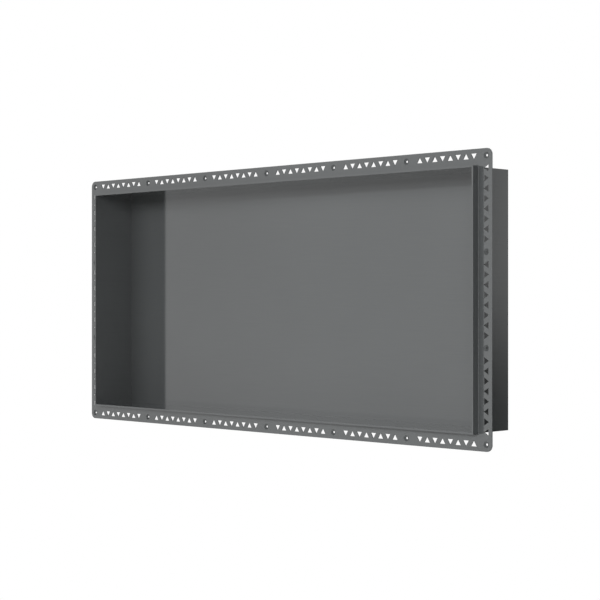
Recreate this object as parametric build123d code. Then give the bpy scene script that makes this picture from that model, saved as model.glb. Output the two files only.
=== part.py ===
"""Shower niche insert: a sheet-metal tray and a perforated tiling frame, welded into one piece.

The niche faces -Y and its depth runs into the wall along +Y, with X along the width and Z up.
The origin is the middle of the flange's back face, the plane that lies against the wall board.
"""
import os

from build123d import *

# Sheet and opening (mm)
SHEET = 1.2
OPENING_W = 812.8
OPENING_H = 355.6
INSIDE_DEPTH = 77.8

# Flange ring and the tile lip ahead of it
FLANGE_W = 863.6
FLANGE_H = 406.4
FLANGE_CORNER_R = 9.0
LIP_STAND = 11.5
FOLD_R = 1.0

# Screw holes along the flange's outer margin, each pressed back into a dimple for the screw's head
HOLE_MARGIN = 9.7
HOLES_ALONG_TOP = 7
HOLES_ALONG_SIDE = 4
HOLE_D = 3.2
DIMPLE_D = 9.0
DIMPLE_DEPTH = 1.6
DIMPLE_STAND = 0.9

# Triangular mortar keys between the screw holes
KEYS_PER_GAP = 8
KEY_PITCH = 13.6
KEY_SIDE = 9.8
KEY_H = 7.9
KEY_BASE_TO_LINE = 3.6
KEY_SHIFT_TO_CORNER = 1.5

# Places worked out from the driving dimensions
TRAY_W = OPENING_W + 2 * SHEET
TRAY_H = OPENING_H + 2 * SHEET
LIP_FRONT_Y = -SHEET - LIP_STAND
HOLE_PITCH_X = (FLANGE_W - 2 * HOLE_MARGIN) / (HOLES_ALONG_TOP - 1)
HOLE_PITCH_Z = (FLANGE_H - 2 * HOLE_MARGIN) / (HOLES_ALONG_SIDE - 1)
HOLE_ROW_Z = FLANGE_H / 2 - HOLE_MARGIN
HOLE_COLUMN_X = FLANGE_W / 2 - HOLE_MARGIN


def tray():
    """Walls and back of one sheet thickness, sharp at every corner and open at the front."""
    from_the_front = (Align.CENTER, Align.MIN, Align.CENTER)
    hollow = Pos(0, LIP_FRONT_Y, 0) * Box(OPENING_W, INSIDE_DEPTH, OPENING_H, align=from_the_front)
    mouth = hollow.faces().sort_by(Axis.Y)[0]
    return offset(hollow, amount=SHEET, openings=mouth, kind=Kind.INTERSECTION)


def screw_points():
    """Screw hole centres in the flange plane: full top and bottom rows, then the holes between them."""
    half_row = (HOLES_ALONG_TOP - 1) / 2
    half_column = (HOLES_ALONG_SIDE - 1) / 2
    points = []
    for column in range(HOLES_ALONG_TOP):
        x = (column - half_row) * HOLE_PITCH_X
        points += [(x, HOLE_ROW_Z), (x, -HOLE_ROW_Z)]
    for row in range(1, HOLES_ALONG_SIDE - 1):
        z = (row - half_column) * HOLE_PITCH_Z
        points += [(HOLE_COLUMN_X, z), (-HOLE_COLUMN_X, z)]
    return points


def key_gap(starts_inward):
    """One gap's row of keys along local X, each turned over from the one before.

    Local +Y is the flange's outer edge, and the first key points away from it if starts_inward.
    """
    base = -KEY_BASE_TO_LINE
    key = make_face(Polyline((-KEY_SIDE / 2, base), (KEY_SIDE / 2, base), (0, base + KEY_H), close=True))
    keys = Sketch()
    for index in range(KEYS_PER_GAP):
        points_in = (index % 2 == 0) == starts_inward
        x = (index - (KEYS_PER_GAP - 1) / 2) * KEY_PITCH
        keys += Pos(x, 0) * Rot(0, 0, 180 if points_in else 0) * key
    return keys


def top_keys():
    """Keys along the top edge, mirrored about the middle screw and set a little towards the corners."""
    gaps_to_corner = (HOLES_ALONG_TOP - 1) // 2
    right = Sketch()
    for gap in range(gaps_to_corner):
        x = (gap + 0.5) * HOLE_PITCH_X + KEY_SHIFT_TO_CORNER
        right += Pos(x, HOLE_ROW_Z) * key_gap(starts_inward=False)
    return right + mirror(right, Plane.YZ)


def right_keys():
    """Keys down the right edge; the gap beside each corner begins with a key that points inward."""
    keys = Sketch()
    for gap in range(HOLES_ALONG_SIDE - 1):
        steps_up = (HOLES_ALONG_SIDE - 2) / 2 - gap
        z = steps_up * HOLE_PITCH_Z
        last_gap = gap == HOLES_ALONG_SIDE - 2
        keys += Pos(HOLE_COLUMN_X, z) * Rot(0, 0, -90) * key_gap(starts_inward=not last_gap)
    return keys


def dimple():
    """Dished ring of sheet round a screw hole: its rim lies in the flange and the hole opens behind it."""
    rim_r = DIMPLE_D / 2
    hole_r = HOLE_D / 2
    profile = Polyline(
        (hole_r, -DIMPLE_STAND),
        (rim_r, 0),
        (rim_r, SHEET),
        (hole_r, SHEET - DIMPLE_DEPTH),
        close=True,
    )
    return revolve(Plane.XZ * make_face(profile), Axis.Z)


def tiling_frame():
    """Perforated flange ring whose inner edge is folded forward round the tray's mouth as the tile lip.

    It is drawn from the front, one sheet thick, with the dimples dished towards the back.
    """
    top = top_keys()
    right = right_keys()
    blank = RectangleRounded(FLANGE_W, FLANGE_H, FLANGE_CORNER_R)
    blank -= Rectangle(TRAY_W, TRAY_H)
    blank -= top + mirror(top, Plane.XZ) + right + mirror(right, Plane.YZ)
    blank -= [Pos(*point) * Circle(DIMPLE_D / 2) for point in screw_points()]
    plate = extrude(blank, amount=SHEET)
    plate += [Pos(*point) * dimple() for point in screw_points()]
    lip = Rectangle(TRAY_W + 2 * SHEET, TRAY_H + 2 * SHEET) - Rectangle(TRAY_W, TRAY_H)
    frame = plate + extrude(lip, amount=SHEET + LIP_STAND)
    flange_front = frame.faces().filter_by(Axis.Z).group_by(Axis.Z)[-2].face()
    fold_line = flange_front.inner_wires().sort_by(SortBy.LENGTH)[-1]
    return Plane.XZ * fillet(fold_line.edges(), FOLD_R)


os.makedirs("parts", exist_ok=True)
niche_insert = tray() + tiling_frame()
export_step(niche_insert, "parts/niche_insert.step")
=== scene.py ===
"""Gunmetal shower niche insert, seen from its right front corner under plain soft studio light."""

import math

import bmesh
import bpy
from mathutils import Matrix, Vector

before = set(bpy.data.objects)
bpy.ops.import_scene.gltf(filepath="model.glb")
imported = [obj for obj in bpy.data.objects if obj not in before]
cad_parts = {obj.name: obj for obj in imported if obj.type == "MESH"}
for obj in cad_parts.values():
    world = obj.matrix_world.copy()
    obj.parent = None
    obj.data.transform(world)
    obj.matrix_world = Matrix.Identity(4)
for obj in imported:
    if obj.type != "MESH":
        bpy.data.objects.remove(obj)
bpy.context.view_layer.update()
scene = bpy.context.scene

MM = 0.001

# The view: a level long lens, 45 degrees round to the right of the niche's mouth
CAMERA_PLACE = Vector((1700.9, -1650.5, -0.1)) * MM
CAMERA_LEVEL = math.radians(90)
CAMERA_YAW = math.radians(44.639)
CAMERA_LENS = 93.04
CAMERA_SENSOR = 36.0

# Brushed stainless sheet under a thin gunmetal coating. The grit leaves fine level scratches, so a
# reflection stays crisp along the grain and smears up and down across it, and the tone drifts a little.
# The coating is smooth on top: seen face on it is a calm dark grey, and at a glance along it a mirror.
GUNMETAL_LIGHT = "#6F7273"
GUNMETAL_DARK = "#6A6D6E"
GUNMETAL_TONE_SPAN = (0.6, 1.4)
GUNMETAL_ROUGHNESS = (0.07, 0.1)
GUNMETAL_METALLIC = 0.1
GUNMETAL_ANISOTROPY = 0.3
GUNMETAL_SMEAR = (0.0, 0.02, 1.0)  # upright on the walls, and along the depth on the level faces
GUNMETAL_COAT = 1.0
GUNMETAL_COAT_IOR = 1.335
GUNMETAL_COAT_ROUGHNESS = 0.08
GRAIN_LENGTH_MM = 70.0
GRAIN_WIDTH_MM = 1.1  # real scratches are about 0.2 mm wide, drawn coarser so that they show
GRAIN_DEPTH_MM = 0.004
GRAIN_RELIEF = 0.5
GRAIN_DETAIL = 3.0
GRAIN_HARSHNESS = 0.6
GRAIN_SPAN = (0.3, 0.7)
DRIFT_MM = 180.0
DRIFT_DETAIL = 2.0
DRIFT_HARSHNESS = 0.5

# Studio: white walls all round, which the gloss shows from a soft foot up to an unlit ceiling. Towards
# the back they are dimmer and their foot is higher, and a soft dark gap lies ahead of the insert. The
# soft edges are spans of the looking direction's part upwards, backwards or towards the gap.
SURROUND = "#FFFFFF"
SURROUND_SEEN = 1.0
DOME_FILL = 0.012
WALL_TOP = (0.25, 0.45)
CEILING_SEEN = 0.1
WALL_FOOT_TILT = (0.0, -0.152, 1.0)
WALL_FOOT = (-0.201, -0.091)
REAR_EDGE = (0.2, 0.6)
REAR_SEEN = 0.6
GAP_TOWARDS = (0.309, -0.951, 0.0)
GAP_EDGE = (0.90, 0.975)

# Floor: matt pale paint well below the insert, with its corners and its drop in metres. It has no gloss
# and is lifted to the white of the surround for the camera alone.
FLOOR_PAINT = "#E6E6E4"
FLOOR_ROUGHNESS = 0.9
FLOOR_SPECULAR = 0.2
FLOOR_GLOW = 0.95
FLOOR_DROP = 1.2
FLOOR_LOW = (-2.6, -4.0)
FLOOR_HIGH = (4.0, 2.6)

# Lights, in metres and watts: a wide soft box stands far ahead on the left, and a spot ahead on the right
# is turned past the insert, so that its feathered edge crosses the niche. Both leave a shadow under the
# niche's ceiling. The other soft boxes stand near the camera, overhead and behind.
INSERT_MIDDLE = (0.0, 0.0, 0.0)
FRONT_PLACE = (-2.36, -6.0, 1.63)
FRONT_SIZE = (4.2, 1.6)
FRONT_POWER = 91.0
SPOT_PLACE = (1.1, -3.9, 1.04)
SPOT_AIM = (1.5, 0.065, 0.0)
SPOT_RADIUS = 0.09
SPOT_BEAM = math.radians(48.9)
SPOT_FEATHER = 0.39
SPOT_POWER = 112.0
SIDE_PLACE = (2.77, -3.55, 1.32)
SIDE_SIZE = (1.7, 1.4)
SIDE_POWER = 50.0
TOP_PLACE = (0.0, 0.0, 3.0)
TOP_SIZE = (3.0, 3.0)
TOP_POWER = 24.0
BACK_PLACE = (-1.5, 4.0, 1.0)
BACK_SIZE = (1.5, 1.5)
BACK_POWER = 120.0

# Places of the Mix node's two inputs and its output, which have one name for every kind of data
VECTOR_A, VECTOR_B, VECTOR_OUT = 4, 5, 1
COLOUR_A, COLOUR_B, COLOUR_OUT = 6, 7, 2


def linear(hex_colour):
    """sRGB hex colour as the linear RGBA that shader sockets take."""
    channels = []
    for start in (1, 3, 5):
        value = int(hex_colour[start:start + 2], 16) / 255
        channels.append(value / 12.92 if value <= 0.04045 else ((value + 0.055) / 1.055) ** 2.4)
    return (*channels, 1.0)


def add_node(tree, kind, inputs=None, **settings):
    """Adds one node: settings are its own properties, inputs are values or the sockets linked to them."""
    node = tree.nodes.new(kind)
    for name, value in settings.items():
        setattr(node, name, value)
    for name, value in (inputs or {}).items():
        if isinstance(value, bpy.types.NodeSocket):
            tree.links.new(value, node.inputs[name])
        else:
            node.inputs[name].default_value = value
    return node


def new_tree(name):
    """An empty node material and its tree."""
    material = bpy.data.materials.new(name)
    material.use_nodes = True
    material.node_tree.nodes.clear()
    return material, material.node_tree


def brushed_gunmetal_steel():
    material, tree = new_tree("brushed_gunmetal_steel")
    place = add_node(tree, "ShaderNodeTexCoord").outputs["Object"]
    facing = add_node(tree, "ShaderNodeNewGeometry").outputs["Normal"]
    upness = add_node(tree, "ShaderNodeSeparateXYZ", {0: facing}).outputs["Z"]
    level_face = add_node(tree, "ShaderNodeMath", {0: upness}, operation="ABSOLUTE").outputs[0]

    # Scratches run level on every wall, and along the width on the floor and the ceiling
    along = 1 / (GRAIN_LENGTH_MM * MM)
    across = 1 / (GRAIN_WIDTH_MM * MM)
    on_walls = add_node(tree, "ShaderNodeMapping", {"Vector": place, "Scale": (along, along, across)})
    on_floor = add_node(tree, "ShaderNodeMapping", {"Vector": place, "Scale": (along, across, along)})
    grain_place = add_node(
        tree, "ShaderNodeMix",
        {"Factor": level_face, VECTOR_A: on_walls.outputs[0], VECTOR_B: on_floor.outputs[0]},
        data_type="VECTOR",
    ).outputs[VECTOR_OUT]
    grain = add_node(
        tree, "ShaderNodeTexNoise",
        {"Vector": grain_place, "Scale": 1.0, "Detail": GRAIN_DETAIL, "Roughness": GRAIN_HARSHNESS},
    ).outputs["Fac"]
    drift = add_node(
        tree, "ShaderNodeTexNoise",
        {
            "Vector": place,
            "Scale": 1 / (DRIFT_MM * MM),
            "Detail": DRIFT_DETAIL,
            "Roughness": DRIFT_HARSHNESS,
        },
    ).outputs["Fac"]

    both = add_node(tree, "ShaderNodeMath", {0: grain, 1: drift}, operation="ADD").outputs[0]
    tone = add_node(
        tree, "ShaderNodeMapRange",
        {"Value": both, "From Min": GUNMETAL_TONE_SPAN[0], "From Max": GUNMETAL_TONE_SPAN[1]},
    ).outputs[0]
    colour = add_node(
        tree, "ShaderNodeMix",
        {"Factor": tone, COLOUR_A: linear(GUNMETAL_DARK), COLOUR_B: linear(GUNMETAL_LIGHT)},
        data_type="RGBA",
    ).outputs[COLOUR_OUT]
    roughness = add_node(
        tree, "ShaderNodeMapRange",
        {
            "Value": grain,
            "From Min": GRAIN_SPAN[0],
            "From Max": GRAIN_SPAN[1],
            "To Min": GUNMETAL_ROUGHNESS[0],
            "To Max": GUNMETAL_ROUGHNESS[1],
        },
    ).outputs[0]
    scratches = add_node(
        tree, "ShaderNodeBump",
        {"Strength": GRAIN_RELIEF, "Distance": GRAIN_DEPTH_MM * MM, "Height": grain},
    ).outputs[0]
    smear = add_node(tree, "ShaderNodeCombineXYZ", dict(zip("XYZ", GUNMETAL_SMEAR))).outputs[0]
    shader = add_node(
        tree, "ShaderNodeBsdfPrincipled",
        {
            "Base Color": colour,
            "Metallic": GUNMETAL_METALLIC,
            "Roughness": roughness,
            "Anisotropic": GUNMETAL_ANISOTROPY,
            "Tangent": smear,
            "Normal": scratches,
            "Coat Weight": GUNMETAL_COAT,
            "Coat IOR": GUNMETAL_COAT_IOR,
            "Coat Roughness": GUNMETAL_COAT_ROUGHNESS,
        },
    )
    add_node(tree, "ShaderNodeOutputMaterial", {"Surface": shader.outputs[0]})
    return material


def matt_pale_paint():
    material, tree = new_tree("matt_pale_paint")
    path = add_node(tree, "ShaderNodeLightPath").outputs
    glow = add_node(
        tree, "ShaderNodeMapRange", {"Value": path["Is Camera Ray"], "To Min": 0.0, "To Max": FLOOR_GLOW}
    ).outputs[0]
    shader = add_node(
        tree, "ShaderNodeBsdfPrincipled",
        {
            "Base Color": linear(FLOOR_PAINT),
            "Roughness": FLOOR_ROUGHNESS,
            "Specular IOR Level": FLOOR_SPECULAR,
            "Emission Color": linear(SURROUND),
            "Emission Strength": glow,
        },
    )
    add_node(tree, "ShaderNodeOutputMaterial", {"Surface": shader.outputs[0]})
    return material


def studio_floor():
    """A square metre, stretched from one corner of the floor to the other."""
    low = Vector((*FLOOR_LOW, -FLOOR_DROP))
    high = Vector((*FLOOR_HIGH, -FLOOR_DROP))
    shape = bmesh.new()
    bmesh.ops.create_grid(shape, x_segments=1, y_segments=1, size=0.5)
    bmesh.ops.scale(shape, vec=(high.x - low.x, high.y - low.y, 1), verts=shape.verts)
    bmesh.ops.translate(shape, vec=(low + high) / 2, verts=shape.verts)
    mesh = bpy.data.meshes.new("studio_floor")
    shape.to_mesh(mesh)
    shape.free()
    mesh.materials.append(matt_pale_paint())
    floor = bpy.data.objects.new("studio_floor", mesh)
    scene.collection.objects.link(floor)


def white_surround():
    """White to the eye and in gloss, and a dim even fill besides; in gloss the walls have their bounds."""
    world = bpy.data.worlds.new("studio_surround")
    scene.world = world
    world.use_nodes = True
    tree = world.node_tree
    tree.nodes.clear()
    towards = add_node(tree, "ShaderNodeTexCoord").outputs["Generated"]
    side = add_node(tree, "ShaderNodeSeparateXYZ", {0: towards}).outputs
    over_foot = add_node(
        tree, "ShaderNodeVectorMath", {0: towards, 1: WALL_FOOT_TILT}, operation="DOT_PRODUCT"
    ).outputs["Value"]
    near_gap = add_node(
        tree, "ShaderNodeVectorMath", {0: towards, 1: GAP_TOWARDS}, operation="DOT_PRODUCT"
    ).outputs["Value"]
    path = add_node(tree, "ShaderNodeLightPath").outputs

    in_gloss = path["Is Glossy Ray"]
    bounds = (
        (side["Z"], WALL_TOP, 1.0, CEILING_SEEN),
        (side["Y"], REAR_EDGE, 1.0, REAR_SEEN),
        (over_foot, WALL_FOOT, 0.0, 1.0),
        (near_gap, GAP_EDGE, 1.0, 0.0),
    )
    for measure, edge, before, after in bounds:
        shown = add_node(
            tree, "ShaderNodeMapRange",
            {"Value": measure, "From Min": edge[0], "From Max": edge[1], "To Min": before, "To Max": after},
            interpolation_type="SMOOTHSTEP",
        ).outputs[0]
        in_gloss = add_node(tree, "ShaderNodeMath", {0: in_gloss, 1: shown}, operation="MULTIPLY").outputs[0]
    seen = in_gloss
    for ray in ("Is Camera Ray", "Is Transmission Ray"):
        seen = add_node(tree, "ShaderNodeMath", {0: seen, 1: path[ray]}, operation="MAXIMUM").outputs[0]
    strength = add_node(
        tree, "ShaderNodeMapRange", {"Value": seen, "To Min": DOME_FILL, "To Max": SURROUND_SEEN}
    ).outputs[0]
    shine = add_node(tree, "ShaderNodeBackground", {"Color": linear(SURROUND), "Strength": strength})
    add_node(tree, "ShaderNodeOutputWorld", {"Surface": shine.outputs[0]})


def hang_light(light, place, aim):
    """Hangs a light turned to its aim; it lights without a picture of itself in the gloss."""
    lamp = bpy.data.objects.new(light.name, light)
    lamp.location = place
    lamp.rotation_euler = (Vector(place) - Vector(aim)).to_track_quat("Z", "Y").to_euler()
    lamp.visible_camera = False
    lamp.visible_glossy = False
    scene.collection.objects.link(lamp)


def soft_box(name, place, size, power):
    """Soft light of the given width and height, turned to the insert."""
    light = bpy.data.lights.new(name, "AREA")
    light.shape = "RECTANGLE"
    light.size, light.size_y = size
    light.energy = power
    hang_light(light, place, INSERT_MIDDLE)


def feathered_spot():
    light = bpy.data.lights.new("feathered_spot", "SPOT")
    light.shadow_soft_size = SPOT_RADIUS
    light.spot_size = SPOT_BEAM
    light.spot_blend = SPOT_FEATHER
    light.energy = SPOT_POWER
    hang_light(light, SPOT_PLACE, SPOT_AIM)


def photo_camera():
    data = bpy.data.cameras.new("camera")
    data.lens = CAMERA_LENS
    data.sensor_width = CAMERA_SENSOR
    camera = bpy.data.objects.new("camera", data)
    camera.location = CAMERA_PLACE
    camera.rotation_euler = (CAMERA_LEVEL, 0, CAMERA_YAW)
    scene.collection.objects.link(camera)
    scene.camera = camera


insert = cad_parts["niche_insert"]
insert.data.materials.clear()
insert.data.materials.append(brushed_gunmetal_steel())

studio_floor()
white_surround()
soft_box("front_soft_box", FRONT_PLACE, FRONT_SIZE, FRONT_POWER)
feathered_spot()
soft_box("side_soft_box", SIDE_PLACE, SIDE_SIZE, SIDE_POWER)
soft_box("top_soft_box", TOP_PLACE, TOP_SIZE, TOP_POWER)
soft_box("back_soft_box", BACK_PLACE, BACK_SIZE, BACK_POWER)
photo_camera()
scene.view_settings.view_transform = "Standard"
